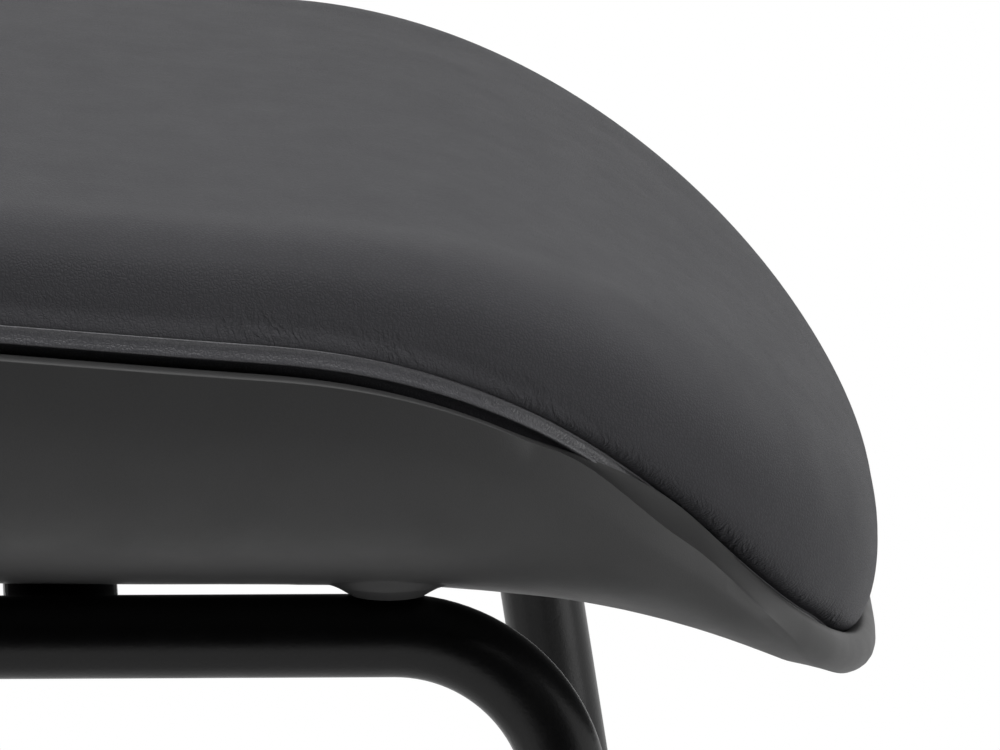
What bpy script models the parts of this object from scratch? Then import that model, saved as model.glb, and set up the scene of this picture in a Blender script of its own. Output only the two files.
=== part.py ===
"""Bar stool: a leather pad in a moulded waterfall shell, on two bent tube side frames."""
import bpy
import bmesh
from math import cos, sin, tan, pi, radians, copysign
from mathutils import Vector, Matrix

# Sizes in metres. The front of the stool faces -Y, the floor is z = 0.

# Side frames
FRAME_HEIGHT = 0.630          # floor to the centre line of the top runs
TUBE_DIAMETER = 0.022
TUBE_WALL = 0.002
FRAME_SPREAD = 0.135          # centre plane to a top run
TOP_RUN = 0.174               # straight length of a top run
BEND_RADIUS = 0.0456          # on the centre line
LEG_RAKE = radians(8.8)       # lean forward and back, seen from the side
LEG_SPLAY = radians(5.0)      # lean outward, seen from the front
FOOTREST_HEIGHT = 0.290
FOOTREST_DIAMETER = 0.014
BAR_WIDTH = 0.030
BAR_THICKNESS = 0.006

# Glides
GLIDE_HEIGHT = 0.009          # floor to the tube end, on the leg's axis
GLIDE_STEM = 0.020
GLIDE_PAD_THICKNESS = 0.0025
GLIDE_PAD_RADIUS = 0.0085

# Seat outline in plan
SEAT_WIDTH = 0.400            # over the lip
SEAT_FRONT = 0.2173           # seat centre to the front of the lip
SEAT_REAR = 0.2173
OUTLINE_POWER = 3.0           # 2 is an ellipse, more is squarer

# Crest of the lip, measured up from the underside of the belly
RIM_RISE = 0.0805
RIM_SLOPE = 0.084             # the sides climb to the rear
FRONT_DROP = 0.0825           # waterfall of the crest at the front
FRONT_DROP_START = 0.050
FRONT_DROP_STRAIGHT = 0.168   # from here on the crest runs straight down
FRONT_DROP_POWER = 2.33
REAR_RISE = 0.030             # extra climb of the crest at the rear
REAR_RISE_START = 0.070

# Belly of the shell
FRONT_DEPTH = 0.0170          # crest to underside at the front
BELLY_DROP_START = 0.060
BELLY_DROP_POWER = 3.0
BELLY_REAR_RISE = 0.022
BASIN_POWER = 3.0             # how square the cross-section is

# Shell wall and lip
SHELL_WALL = 0.0045
LIP_THICKNESS = 0.0070
LIP_CREST = 0.0035            # its crest lies this far inside its edge
LIP_LEAN = radians(112)       # turn at which its leaning face leaves the edge
LIP_ROUND = 0.0010            # drop from its crest to its inner corner
LIP_ROOT_SIDE = 0.0004        # under the edge the lip draws in by this much along the sides
LIP_ROOT_FRONT = 0.0036       # and round the front
LIP_TUCKS_FROM = 0.176        # it draws in more between these two places
LIP_TUCKS_TO = 0.208
LIP_BEVEL = 0.8               # height of that bevel for its depth
LIP_SIDE = 0.0012             # height of its leaning face along the sides
LIP_CORNER = 0.0108           # at the front corners
LIP_FRONT = 0.0072            # and round the front
LIP_GROWS_FROM = 0.132        # the face swells between these two places
LIP_GROWS_TO = 0.168
LIP_RISE = 0.0072             # at the front corners the lip climbs to the seam
LIP_RISES_FROM = 0.128
LIP_RISES_TO = 0.158
LIP_SETTLES_FROM = 0.165      # and settles again to the front
LIP_SETTLES_TO = 0.205
LIP_INNER = 0.0020            # crest of the sides to the inner basin's edge

# Bosses under the shell, on the top runs
BOSS_Y = 0.0853
BOSS_GAP = 0.0024             # belly to tube at the front bosses
BOSS_FOOT_RADIUS = 0.0100
BOSS_RADIUS = 0.0158
BOSS_FLARE = 0.0038
BOSS_REACH = 0.030

# Fasteners: screws from inside the pan, through the bosses, into rivet nuts in the tubes
SCREW_RADIUS = 0.0030
SCREW_HEAD_RADIUS = 0.0052
SCREW_HEAD_HEIGHT = 0.0030
WASHER_RADIUS = 0.0066
WASHER_THICKNESS = 0.0010
PAN_SEAT = 0.0012             # least wall left under a washer
NUT_RADIUS = 0.0045
NUT_FLANGE_RADIUS = 0.0062
NUT_FLANGE = 0.0010
NUT_LENGTH = 0.0095           # below its flange

# Inner pan
PAN_FLOOR = 0.0110
PAN_WALL = 0.0040
PAN_EDGE_SCALE = 0.9565       # where the pan stops, as a share of the basin

# Leather and foam
LEATHER = 0.0016
PAD_HEIGHT = 0.0352           # crest of the lip to the top of the pad's shoulder
PAD_CROWN = 0.0040
PAD_DROP = 0.0670             # waterfall of the pad's top at the front
PAD_DROP_START = 0.070
PAD_DROP_POWER = 2.2
FULL_HEIGHT = 0.0160          # the fullest part of the wall above the crest
FULL_INSET_SIDE = 0.0040      # and inside the lip's edge
FULL_INSET_FRONT = -0.0017
SHOULDER_SIDE = 0.036         # width of the rounded shoulder
SHOULDER_FRONT = 0.050
SHOULDER_POWER_SIDE = 3.2
SHOULDER_POWER_FRONT = 2.8
SHOULDER_SOFTENS_FROM = 0.040
SHOULDER_SOFTENS_TO = 0.190
SEAM_SIDE = 0.0078            # seam above the crest along the sides
SEAM_FRONT = 0.0030           # and round the front
SEAM_INSET = 0.0060
STRIP_SIDE = 0.0046           # width of the border strip
STRIP_FRONT = 0.0028
STRIP_DRAW = 0.0010           # the strip's lower edge is drawn in by this
STRIP_TURN = 0.0015           # height over which it turns in to its tuck
POCKET_FROM = 0.165           # the strip dives into the front pocket between these places
POCKET_TO = 0.210

# Clearances
SEAT_GAP = 0.0003             # between pieces that touch
FOAM_GAP = 0.0008             # between the pan and the foam
SCREW_PLAY = 0.0004           # round a screw's shank

# Facets
SEGMENTS = 48                 # points round the seat
BASIN_SCALES = (0.30, 0.50, 0.64, 0.75, 0.84, 0.905, PAN_EDGE_SCALE, 0.98, 0.995, 1.0)
LIP_SHARES = (0.0, 0.25, 0.50, 0.75, 1.0)
LIP_INNER_TURNS = (35, 62, 90)
LOWER_TURNS = (0, 40)         # under the fullest part of the pad's wall
SHOULDER_TURNS = (0, 20, 38, 54, 70, 90)
TOP_SCALES = (0.70, 0.40)
WALL_TAPER = 0.97             # rings closer in size than this are taken as a wall
BOSS_TURN = radians(3.5)      # keeps a boss's facets off those of its hole
BEND_STEPS = 10
TUBE_SIDES = 16

# Derived sizes
TUBE_RADIUS = TUBE_DIAMETER / 2
TUBE_BORE = TUBE_RADIUS - TUBE_WALL
TUBE_TOP = FRAME_HEIGHT + TUBE_RADIUS
HALF_RUN = TOP_RUN / 2
BEND_ANGLE = pi / 2 - LEG_RAKE
HOLE_RADIUS = SCREW_RADIUS + SCREW_PLAY
CREST_FRONT = RIM_RISE - RIM_SLOPE * SEAT_FRONT - FRONT_DROP
BELLY_DROP = FRONT_DEPTH - CREST_FRONT
PAN_INSET = LIP_THICKNESS + SEAT_GAP
PAN_LIFT = SHELL_WALL + SEAT_GAP
FOAM_INSET = PAN_INSET + PAN_WALL + FOAM_GAP
FOAM_LIFT = PAN_LIFT + PAN_FLOOR + FOAM_GAP
TUCK_INSET = PAN_INSET + (PAN_WALL - LEATHER) / 2
SIDES = {"left": -1, "right": 1}
ENDS = {"front": -1, "rear": 1}
CORNERS = {end + "_" + side: (SIDES[side], ENDS[end]) for end in ENDS for side in SIDES}


# Scene, materials and objects

for old in list(bpy.data.objects):
    bpy.data.objects.remove(old, do_unlink=True)

stool = bpy.data.collections.new("bar_stool")
cutters = bpy.data.collections.new("cutters")
bpy.context.scene.collection.children.link(stool)
bpy.context.scene.collection.children.link(cutters)


def material(name, colour, roughness, metallic=0.0):
    made = bpy.data.materials.new(name)
    made.use_nodes = True
    shader = made.node_tree.nodes["Principled BSDF"]
    shader.inputs["Base Color"].default_value = (*colour, 1.0)
    shader.inputs["Roughness"].default_value = roughness
    shader.inputs["Metallic"].default_value = metallic
    return made


SHELL_PLASTIC = material("shell_plastic", (0.060, 0.060, 0.062), 0.55)
BLACK_LEATHER = material("black_leather", (0.048, 0.047, 0.050), 0.48)
FOAM = material("foam", (0.72, 0.70, 0.62), 0.95)
PAN_PLASTIC = material("pan_plastic", (0.10, 0.10, 0.10), 0.60)
FRAME_PAINT = material("frame_paint", (0.012, 0.012, 0.013), 0.45, 0.3)
DARK_STEEL = material("dark_steel", (0.05, 0.05, 0.052), 0.35, 1.0)
GLIDE_NYLON = material("glide_nylon", (0.02, 0.02, 0.02), 0.50)
GLIDE_RUBBER = material("glide_rubber", (0.015, 0.015, 0.015), 0.90)


def add_part(name, mesh, paint):
    part = bpy.data.objects.new(name, mesh)
    stool.objects.link(part)
    mesh.materials.append(paint)
    mesh.shade_smooth()
    mesh.set_sharp_from_angle(angle=radians(35))
    return part


def add_cutter(name, mesh):
    cutter = bpy.data.objects.new(name, mesh)
    cutters.objects.link(cutter)
    cutter.display_type = "WIRE"
    cutter.hide_render = True
    return cutter


def boolean(target, cutter, operation="DIFFERENCE"):
    cut = target.modifiers.new(cutter.name, "BOOLEAN")
    cut.operation = operation
    cut.object = cutter
    cut.solver = "EXACT"


def mesh_from(name, bm):
    bmesh.ops.recalc_face_normals(bm, faces=bm.faces)
    mesh = bpy.data.meshes.new(name)
    bm.to_mesh(mesh)
    bm.free()
    return mesh


def evaluated_mesh(source):
    """Bmesh of an object with its modifiers or bevel applied; the object is removed."""
    bpy.context.view_layer.update()
    depsgraph = bpy.context.evaluated_depsgraph_get()
    mesh = bpy.data.meshes.new_from_object(source.evaluated_get(depsgraph))
    bpy.data.objects.remove(source, do_unlink=True)
    bm = bmesh.new()
    bm.from_mesh(mesh)
    bpy.data.meshes.remove(mesh)
    bmesh.ops.remove_doubles(bm, verts=bm.verts, dist=0.00001)
    return bm


def add_quad(bm, a, b, c, d, across):
    """Two triangles, split from a to c or from b to d."""
    if across:
        bm.faces.new((a, b, c))
        bm.faces.new((a, c, d))
    else:
        bm.faces.new((a, b, d))
        bm.faces.new((b, c, d))


def ring_size(ring):
    return sum(point.co.xy.length for point in ring)


def loft(name, rings, closed=False):
    """Skin a stack of rings. A ring of one point ends it; a closed stack joins its last to its first.

    The split of each quad depends on its quarter only, so nested skins facet alike.
    """
    bm = bmesh.new()
    loops = [[bm.verts.new(point) for point in ring] for ring in rings]
    following = loops[1:] + loops[:1] if closed else loops[1:]
    for lower, upper in zip(loops, following):
        count = max(len(lower), len(upper))
        inward_step = ring_size(lower) > ring_size(upper) * WALL_TAPER
        for k in range(count):
            n = (k + 1) % count
            even_quarter = 4 * k // count % 2 == 0
            if len(lower) == 1:
                bm.faces.new((lower[0], upper[n], upper[k]))
            elif len(upper) == 1:
                bm.faces.new((lower[k], lower[n], upper[0]))
            else:
                add_quad(bm, lower[k], lower[n], upper[n], upper[k], inward_step == even_quarter)
    return mesh_from(name, bm)


def turned(name, profile, steps=24, ring=False):
    """Mesh of (radius, height) pairs, listed down the outer side, turned about Z."""
    line = bpy.data.meshes.new(name)
    points = [(radius, 0.0, height) for radius, height in profile]
    edges = [(i, i + 1) for i in range(len(points) - 1)]
    if ring:
        edges.append((len(points) - 1, 0))
    line.from_pydata(points, edges, [])
    blank = bpy.data.objects.new(name, line)
    cutters.objects.link(blank)
    screw = blank.modifiers.new("turn", "SCREW")
    screw.steps = steps
    screw.render_steps = steps
    screw.use_merge_vertices = True
    screw.merge_threshold = 0.00001
    return mesh_from(name, evaluated_mesh(blank))


def pipe(name, path, radius, sides, capped=True):
    """Mesh of a round rod or open tube along a path of points."""
    curve = bpy.data.curves.new(name, "CURVE")
    curve.dimensions = "3D"
    curve.bevel_depth = radius
    curve.bevel_resolution = sides // 2 - 2
    curve.use_fill_caps = capped
    spline = curve.splines.new("POLY")
    spline.points.add(len(path) - 1)
    for point, place in zip(spline.points, path):
        point.co = (*place, 1.0)
    guide = bpy.data.objects.new(name, curve)
    cutters.objects.link(guide)
    return mesh_from(name, evaluated_mesh(guide))


# Seat surfaces. Heights are over the underside of the belly at the seat's centre.

def smooth_step(value, start, end):
    share = min(max((value - start) / (end - start), 0.0), 1.0)
    return share * share * (3 - 2 * share)


def mix(side, front, share):
    return side + (front - side) * share


def reach(y, inset):
    return (SEAT_REAR if y > 0 else SEAT_FRONT) - inset


def outline(k, inset):
    """Point k of the seat's plan outline, drawn in by an inset."""
    angle = 2 * pi * k / SEGMENTS
    across = copysign(abs(cos(angle)) ** (2 / OUTLINE_POWER), cos(angle))
    along = copysign(abs(sin(angle)) ** (2 / OUTLINE_POWER), sin(angle))
    return (SEAT_WIDTH / 2 - inset) * across, reach(along, inset) * along


def fall(y, start, depth, power, straight=SEAT_FRONT):
    """Drop of a waterfall that has its full depth at the front of the lip."""
    bend = straight - start
    steep = max(-y - straight, 0.0) / bend * power
    full = 1 + (SEAT_FRONT - straight) / bend * power
    return depth / full * ((min(max(-y - start, 0.0), bend) / bend) ** power + steep)


def climb(y, rise):
    return rise * (max(y - REAR_RISE_START, 0.0) / (SEAT_REAR - REAR_RISE_START)) ** 2


def belly(y):
    return climb(y, BELLY_REAR_RISE) - fall(y, BELLY_DROP_START, BELLY_DROP, BELLY_DROP_POWER)


def crest(y):
    drop = fall(y, FRONT_DROP_START, FRONT_DROP, FRONT_DROP_POWER, FRONT_DROP_STRAIGHT)
    return RIM_RISE + RIM_SLOPE * y + climb(y, REAR_RISE) - drop


def pad_top(y):
    drop = fall(y, PAD_DROP_START, PAD_DROP, PAD_DROP_POWER)
    return RIM_RISE + PAD_HEIGHT + RIM_SLOPE * y + climb(y, REAR_RISE) - drop


def lip_share(y):
    """How far the lip has climbed to the seam, 0 along the sides and 1 from the front corners on."""
    return smooth_step(-y, LIP_RISES_FROM, LIP_RISES_TO)


def lip_settled(y):
    return smooth_step(-y, LIP_SETTLES_FROM, LIP_SETTLES_TO)


def lip_height(y):
    grown = mix(LIP_SIDE, LIP_CORNER, smooth_step(-y, LIP_GROWS_FROM, LIP_GROWS_TO))
    return mix(grown, LIP_FRONT, lip_settled(y))


def lip_top(y):
    return crest(y) + LIP_RISE * lip_share(y) * (1 - lip_settled(y))


def lip_foot(y):
    return lip_top(y) - lip_height(y)


def lip_root(y):
    return mix(LIP_ROOT_SIDE, LIP_ROOT_FRONT, smooth_step(-y, LIP_TUCKS_FROM, LIP_TUCKS_TO))


def shell_edge(y):
    return lip_foot(y) - LIP_BEVEL * lip_root(y)


def inner_edge(y):
    return crest(y) - LIP_INNER


def basin_share(scale):
    """Climb of the basin's cross-section, 0 at the centre and 1 at the edge."""
    return 1 - max(1 - scale ** BASIN_POWER, 0.0) ** (1 / BASIN_POWER)


def basin(x, y, inset, lift, edge):
    """Height of a basin surface at a place in plan, lifted off the belly, with its edge at the rim."""
    across = abs(x) / (SEAT_WIDTH / 2 - inset)
    along = abs(y) / reach(y, inset)
    scale = (across ** OUTLINE_POWER + along ** OUTLINE_POWER) ** (1 / OUTLINE_POWER)
    rim_y = y / scale if scale > 0 else 0.0
    lip_y = rim_y * reach(y, 0.0) / reach(y, inset)
    return belly(y) + lift + (edge(lip_y) - belly(rim_y) - lift) * basin_share(scale)


# The front bosses stand on the tubes, which sets the height of the belly
BELLY_HEIGHT = TUBE_TOP + BOSS_GAP - basin(FRAME_SPREAD, -BOSS_Y, LIP_ROOT_SIDE, 0.0, shell_edge)


def basin_rings(inset, lift, edge, stop=1.0):
    """Rings of a basin surface from its centre point out to its edge, by a fixed inset or one along the rim."""
    rings = [[(0.0, 0.0, BELLY_HEIGHT + belly(0.0) + lift)]]
    for scale in BASIN_SCALES:
        if scale > stop:
            break
        ring = []
        for k in range(SEGMENTS):
            lip_y = outline(k, 0.0)[1]
            rim_x, rim_y = outline(k, inset(lip_y) if callable(inset) else inset)
            y = rim_y * scale
            depth = (edge(lip_y) - belly(rim_y) - lift) * basin_share(scale)
            ring.append((rim_x * scale, y, BELLY_HEIGHT + belly(y) + lift + depth))
        rings.append(ring)
    return rings


def rim_ring(place):
    """Ring with its inset and its height over the crest given for each place along the rim."""
    ring = []
    for k in range(SEGMENTS):
        rim_y = outline(k, 0.0)[1]
        inset, height = place(rim_y)
        x, y = outline(k, inset)
        ring.append(Vector((x, y, BELLY_HEIGHT + crest(rim_y) + height)))
    return ring


# Seat shell: outer basin, rolled lip, inner basin, bosses

def lip_ring(inset, drop):
    """Ring on the lip, at a drop from its crest given for each place along the rim."""
    ring = []
    for k in range(SEGMENTS):
        rim_y = outline(k, 0.0)[1]
        ring.append((*outline(k, inset), BELLY_HEIGHT + lip_top(rim_y) - drop(rim_y)))
    return ring


def lip_rings():
    """The leaning face from the lip's edge up to its crest, then the rounding down to the inner corner."""
    rings = []
    for share in LIP_SHARES:
        turn = mix(LIP_LEAN, pi, share)
        fallen = (1 + cos(turn)) / (1 + cos(LIP_LEAN))
        rings.append(lip_ring(LIP_CREST * (1 - sin(turn) / sin(LIP_LEAN)), lambda y: lip_height(y) * fallen))
    for turn in LIP_INNER_TURNS:
        inset = mix(LIP_CREST, LIP_THICKNESS, sin(radians(turn)))
        fallen = LIP_ROUND * (1 - cos(radians(turn)))
        rings.append(lip_ring(inset, lambda y: fallen))
    return rings


def boss_place(corner):
    side, end = CORNERS[corner]
    return Vector((side * FRAME_SPREAD, end * BOSS_Y, 0.0))


def boss_trim():
    """Basin half way through the shell's wall, filled upward, where the bosses stop."""
    rings = basin_rings(LIP_THICKNESS / 2, SHELL_WALL / 2, inner_edge)
    lid = TUBE_TOP + SEAT_WIDTH
    rings.append([(x, y, lid) for x, y, z in rings[-1]])
    rings.append([(0.0, 0.0, lid)])
    return add_cutter("boss_trim", loft("boss_trim", rings))


def build_shell():
    outer = basin_rings(lip_root, 0.0, shell_edge)
    inner = basin_rings(LIP_THICKNESS, SHELL_WALL, inner_edge)
    shell = add_part("seat_shell", loft("seat_shell", outer + lip_rings() + inner[::-1]), SHELL_PLASTIC)
    trim = boss_trim()
    foot = TUBE_TOP + SEAT_GAP
    boss = turned("boss", (
        (0.0, foot + BOSS_REACH),
        (BOSS_RADIUS, foot + BOSS_REACH),
        (BOSS_RADIUS, foot + BOSS_FLARE),
        (BOSS_FOOT_RADIUS, foot),
        (0.0, foot),
    ))
    recess = foot + NUT_FLANGE + SEAT_GAP
    hole = turned("boss_hole", (
        (0.0, foot + BOSS_REACH),
        (HOLE_RADIUS, foot + BOSS_REACH),
        (HOLE_RADIUS, recess),
        (NUT_FLANGE_RADIUS + SEAT_GAP, recess),
        (NUT_FLANGE_RADIUS + SEAT_GAP, FRAME_HEIGHT),
        (0.0, FRAME_HEIGHT),
    ), steps=16)
    for corner in CORNERS:
        added = add_cutter("boss_" + corner, boss)
        added.location = boss_place(corner)
        added.rotation_euler.z = BOSS_TURN
        boolean(added, trim)
        boolean(shell, added, "UNION")
        drilled = add_cutter("boss_hole_" + corner, hole)
        drilled.location = boss_place(corner)
        boolean(shell, drilled)


# Inner pan, and the screws that hold it and the shell to the tubes

def screw_seat(corner):
    """Floor of a screw's pocket in the pan, over the pan's sloping underside all round."""
    place = boss_place(corner)
    around = [2 * pi * step / 12 for step in range(12)]
    pocket = WASHER_RADIUS + SEAT_GAP
    unders = [basin(place.x + pocket * cos(turn), place.y + pocket * sin(turn),
                    PAN_INSET, PAN_LIFT, inner_edge) for turn in around]
    return BELLY_HEIGHT + max(unders) + PAN_SEAT


def build_pan():
    outer = basin_rings(PAN_INSET, PAN_LIFT, inner_edge, PAN_EDGE_SCALE)
    inner = basin_rings(PAN_INSET + PAN_WALL, PAN_LIFT + PAN_FLOOR, inner_edge, PAN_EDGE_SCALE)
    pan = add_part("inner_pan", loft("inner_pan", outer + inner[::-1]), PAN_PLASTIC)
    for corner in CORNERS:
        seat = screw_seat(corner)
        hole = add_cutter("pan_hole_" + corner, turned("pan_hole", (
            (0.0, seat + BOSS_REACH),
            (WASHER_RADIUS + SEAT_GAP, seat + BOSS_REACH),
            (WASHER_RADIUS + SEAT_GAP, seat),
            (HOLE_RADIUS, seat),
            (HOLE_RADIUS, FRAME_HEIGHT),
            (0.0, FRAME_HEIGHT),
        ), steps=16))
        hole.location = boss_place(corner)
        boolean(pan, hole)


def build_fasteners():
    flange = TUBE_TOP + SEAT_GAP
    tip = flange - NUT_LENGTH
    for corner in CORNERS:
        base = screw_seat(corner) + SEAT_GAP
        head = base + WASHER_THICKNESS + SEAT_GAP
        screw = add_part("frame_screw_" + corner, turned("frame_screw", (
            (0.0, head + SCREW_HEAD_HEIGHT),
            (SCREW_HEAD_RADIUS * 0.7, head + SCREW_HEAD_HEIGHT),
            (SCREW_HEAD_RADIUS, head + SCREW_HEAD_HEIGHT * 0.6),
            (SCREW_HEAD_RADIUS, head),
            (SCREW_RADIUS, head),
            (SCREW_RADIUS, tip),
            (0.0, tip),
        ), steps=16), DARK_STEEL)
        washer = add_part("screw_washer_" + corner, turned("screw_washer", (
            (WASHER_RADIUS, base + WASHER_THICKNESS),
            (WASHER_RADIUS, base),
            (HOLE_RADIUS, base),
            (HOLE_RADIUS, base + WASHER_THICKNESS),
        ), steps=16, ring=True), DARK_STEEL)
        nut = add_part("rivet_nut_" + corner, turned("rivet_nut", (
            (NUT_FLANGE_RADIUS, flange + NUT_FLANGE),
            (NUT_FLANGE_RADIUS, flange),
            (NUT_RADIUS, flange),
            (NUT_RADIUS, tip),
            (HOLE_RADIUS, tip),
            (HOLE_RADIUS, flange + NUT_FLANGE),
        ), steps=16, ring=True), DARK_STEEL)
        for piece in (screw, washer, nut):
            piece.location = boss_place(corner)


# Pad: leather cover, border strip and foam

def pocket_share(rim_y):
    return smooth_step(-rim_y, POCKET_FROM, POCKET_TO)


def front_share(rim_y):
    return smooth_step(-rim_y, SHOULDER_SOFTENS_FROM, SHOULDER_SOFTENS_TO)


def seam_place(rim_y):
    return mix(SEAM_INSET, TUCK_INSET, lip_share(rim_y)), mix(SEAM_SIDE, SEAM_FRONT, pocket_share(rim_y))


def full_inset(rim_y):
    return mix(FULL_INSET_SIDE, FULL_INSET_FRONT, front_share(rim_y))


def lower_place(rim_y, turn):
    """Pad's wall between the seam and its fullest line, a quarter of an ellipse."""
    seam_inset, seam_height = seam_place(rim_y)
    full = full_inset(rim_y)
    return full + (seam_inset - full) * (1 - sin(turn)), FULL_HEIGHT - (FULL_HEIGHT - seam_height) * cos(turn)


def shoulder_ring(turn):
    """Ring on the pad's shoulder, a quarter of a squarish ellipse from its fullest line up to its top."""
    ring = []
    for k in range(SEGMENTS):
        rim_y = outline(k, 0.0)[1]
        share = front_share(rim_y)
        width = mix(SHOULDER_SIDE, SHOULDER_FRONT, share)
        power = 2 / mix(SHOULDER_POWER_SIDE, SHOULDER_POWER_FRONT, share)
        x, y = outline(k, full_inset(rim_y) + width * (1 - max(cos(turn), 0.0) ** power))
        height = mix(crest(rim_y) + FULL_HEIGHT, pad_top(y), sin(turn) ** power)
        ring.append(Vector((x, y, BELLY_HEIGHT + height)))
    return ring


def cover_rings():
    """Outer face of the cover, from the seam up to the centre of the crown."""
    rings = [rim_ring(lambda y: lower_place(y, radians(turn))) for turn in LOWER_TURNS]
    rings += [shoulder_ring(radians(turn)) for turn in SHOULDER_TURNS]
    edge = rings[-1]
    for scale in TOP_SCALES:
        rise = BELLY_HEIGHT + PAD_CROWN * (1 - scale * scale)
        rings.append([Vector((p.x * scale, p.y * scale, rise + pad_top(p.y * scale))) for p in edge])
    rings.append([Vector((0.0, 0.0, BELLY_HEIGHT + pad_top(0.0) + PAD_CROWN))])
    return rings


def inward(rings, distance):
    """The same rings moved in along the surface's normals."""
    moved = []
    for i, ring in enumerate(rings):
        if len(ring) == 1:
            moved.append([ring[0] - Vector((0.0, 0.0, distance))])
            continue
        below = rings[max(i - 1, 0)]
        above = rings[i + 1]
        new_ring = []
        for k, point in enumerate(ring):
            along = ring[(k + 1) % SEGMENTS] - ring[k - 1]
            up = above[k % len(above)] - below[k]
            new_ring.append(point - along.cross(up).normalized() * distance)
        moved.append(new_ring)
    return moved


def tuck_ring(inset):
    """Foot of the tucked leather, just off the shell's inner face on both of its sides."""
    floor, wall = basin_rings(LIP_THICKNESS, SHELL_WALL, inner_edge)[-3:-1]
    return [(*outline(k, inset), max(floor[k][2], wall[k][2]) + SEAT_GAP) for k in range(SEGMENTS)]


def strip_place(rim_y, drop, thickness):
    """Place on the border strip at a share of its width below the seam."""
    inset, height = seam_place(rim_y)
    width = mix(STRIP_SIDE, STRIP_FRONT, pocket_share(rim_y))
    return inset + STRIP_DRAW * drop * drop + thickness, height - SEAT_GAP - width * drop


def turn_place(rim_y, thickness):
    return TUCK_INSET + thickness, strip_place(rim_y, 1.0, 0.0)[1] - STRIP_TURN


def build_pad():
    outside = cover_rings()
    cover = loft("seat_cover", outside[::-1] + inward(outside, LEATHER))
    add_part("seat_cover", cover, BLACK_LEATHER)

    faces = []
    for thickness in (0.0, LEATHER):
        faces.append([
            rim_ring(lambda y: strip_place(y, 0.0, thickness)),
            rim_ring(lambda y: strip_place(y, 0.6, thickness)),
            rim_ring(lambda y: strip_place(y, 1.0, thickness)),
            rim_ring(lambda y: turn_place(y, thickness)),
            tuck_ring(TUCK_INSET + thickness),
        ])
    strip = loft("cover_border", faces[0] + faces[1][::-1], closed=True)
    add_part("cover_border", strip, BLACK_LEATHER)

    bottom = basin_rings(FOAM_INSET, FOAM_LIFT, crest)
    wall = rim_ring(lambda y: (FOAM_INSET, seam_place(y)[1] + LEATHER * lip_share(y)))
    top = inward(outside, LEATHER + FOAM_GAP)[1:]
    add_part("seat_foam", loft("seat_foam", bottom + [wall] + top), FOAM)


# Side frames, cross bar, footrest and glides

def frame_point(side, y, down):
    """Point in the leaning plane of a side frame, by its distance down from the top run."""
    return Vector((side * (FRAME_SPREAD + down * sin(LEG_SPLAY)), y, FRAME_HEIGHT - down * cos(LEG_SPLAY)))


def leg_point(side, end, height):
    """Point on a leg's centre line at a height over the floor."""
    down = (FRAME_HEIGHT - height) / cos(LEG_SPLAY)
    below_bend = down - BEND_RADIUS * (1 - cos(BEND_ANGLE))
    return frame_point(side, end * (HALF_RUN + BEND_RADIUS * sin(BEND_ANGLE) + below_bend * tan(LEG_RAKE)), down)


def half_path(side, end):
    """Centre line from the top run's end round the bend and down the leg."""
    path = []
    for step in range(BEND_STEPS + 1):
        turn = BEND_ANGLE * step / BEND_STEPS
        path.append(frame_point(side, end * (HALF_RUN + BEND_RADIUS * sin(turn)), BEND_RADIUS * (1 - cos(turn))))
    path.append(leg_point(side, end, GLIDE_HEIGHT))
    return path


def frame_path(side):
    return half_path(side, -1)[::-1] + half_path(side, 1)


def build_side_frames():
    hole = turned("tube_hole", (
        (0.0, TUBE_TOP + TUBE_RADIUS),
        (NUT_RADIUS + SEAT_GAP, TUBE_TOP + TUBE_RADIUS),
        (NUT_RADIUS + SEAT_GAP, FRAME_HEIGHT),
        (0.0, FRAME_HEIGHT),
    ), steps=16)
    for name, side in SIDES.items():
        tube = pipe("side_frame", frame_path(side), TUBE_RADIUS, TUBE_SIDES, capped=False)
        frame = add_part("side_frame_" + name, tube, FRAME_PAINT)
        wall = frame.modifiers.new("wall", "SOLIDIFY")
        wall.thickness = TUBE_WALL
        wall.offset = -1
        wall.use_even_offset = True
        for end_name, end in ENDS.items():
            drilled = add_cutter("tube_hole_" + end_name + "_" + name, hole)
            drilled.location = boss_place(end_name + "_" + name)
            boolean(frame, drilled)


def build_cross_bar():
    bm = bmesh.new()
    bmesh.ops.create_cube(bm, size=1.0)
    length = 2 * (FRAME_SPREAD - TUBE_RADIUS / 2)
    bmesh.ops.scale(bm, vec=(length, BAR_WIDTH, BAR_THICKNESS), verts=bm.verts)
    top = BELLY_HEIGHT + belly(0.0) - SEAT_GAP
    bmesh.ops.translate(bm, vec=(0.0, 0.0, top - BAR_THICKNESS / 2), verts=bm.verts)
    bar = add_part("cross_bar", mesh_from("cross_bar", bm), FRAME_PAINT)
    edge = bar.modifiers.new("edge", "BEVEL")
    edge.width = BAR_THICKNESS / 6
    edge.segments = 2
    for room in frame_cutters.values():
        boolean(bar, room)


def build_footrest():
    spans = {
        "front": ("front_left", "front_right"),
        "rear": ("rear_left", "rear_right"),
        "left": ("front_left", "rear_left"),
        "right": ("front_right", "rear_right"),
    }
    for name, corners in spans.items():
        ends = [leg_point(*CORNERS[corner], FOOTREST_HEIGHT) for corner in corners]
        bar = add_part("footrest_" + name, pipe("footrest", ends, FOOTREST_DIAMETER / 2, TUBE_SIDES), FRAME_PAINT)
        for side in sorted({CORNERS[corner][0] for corner in corners}):
            boolean(bar, frame_cutters[side])


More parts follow.
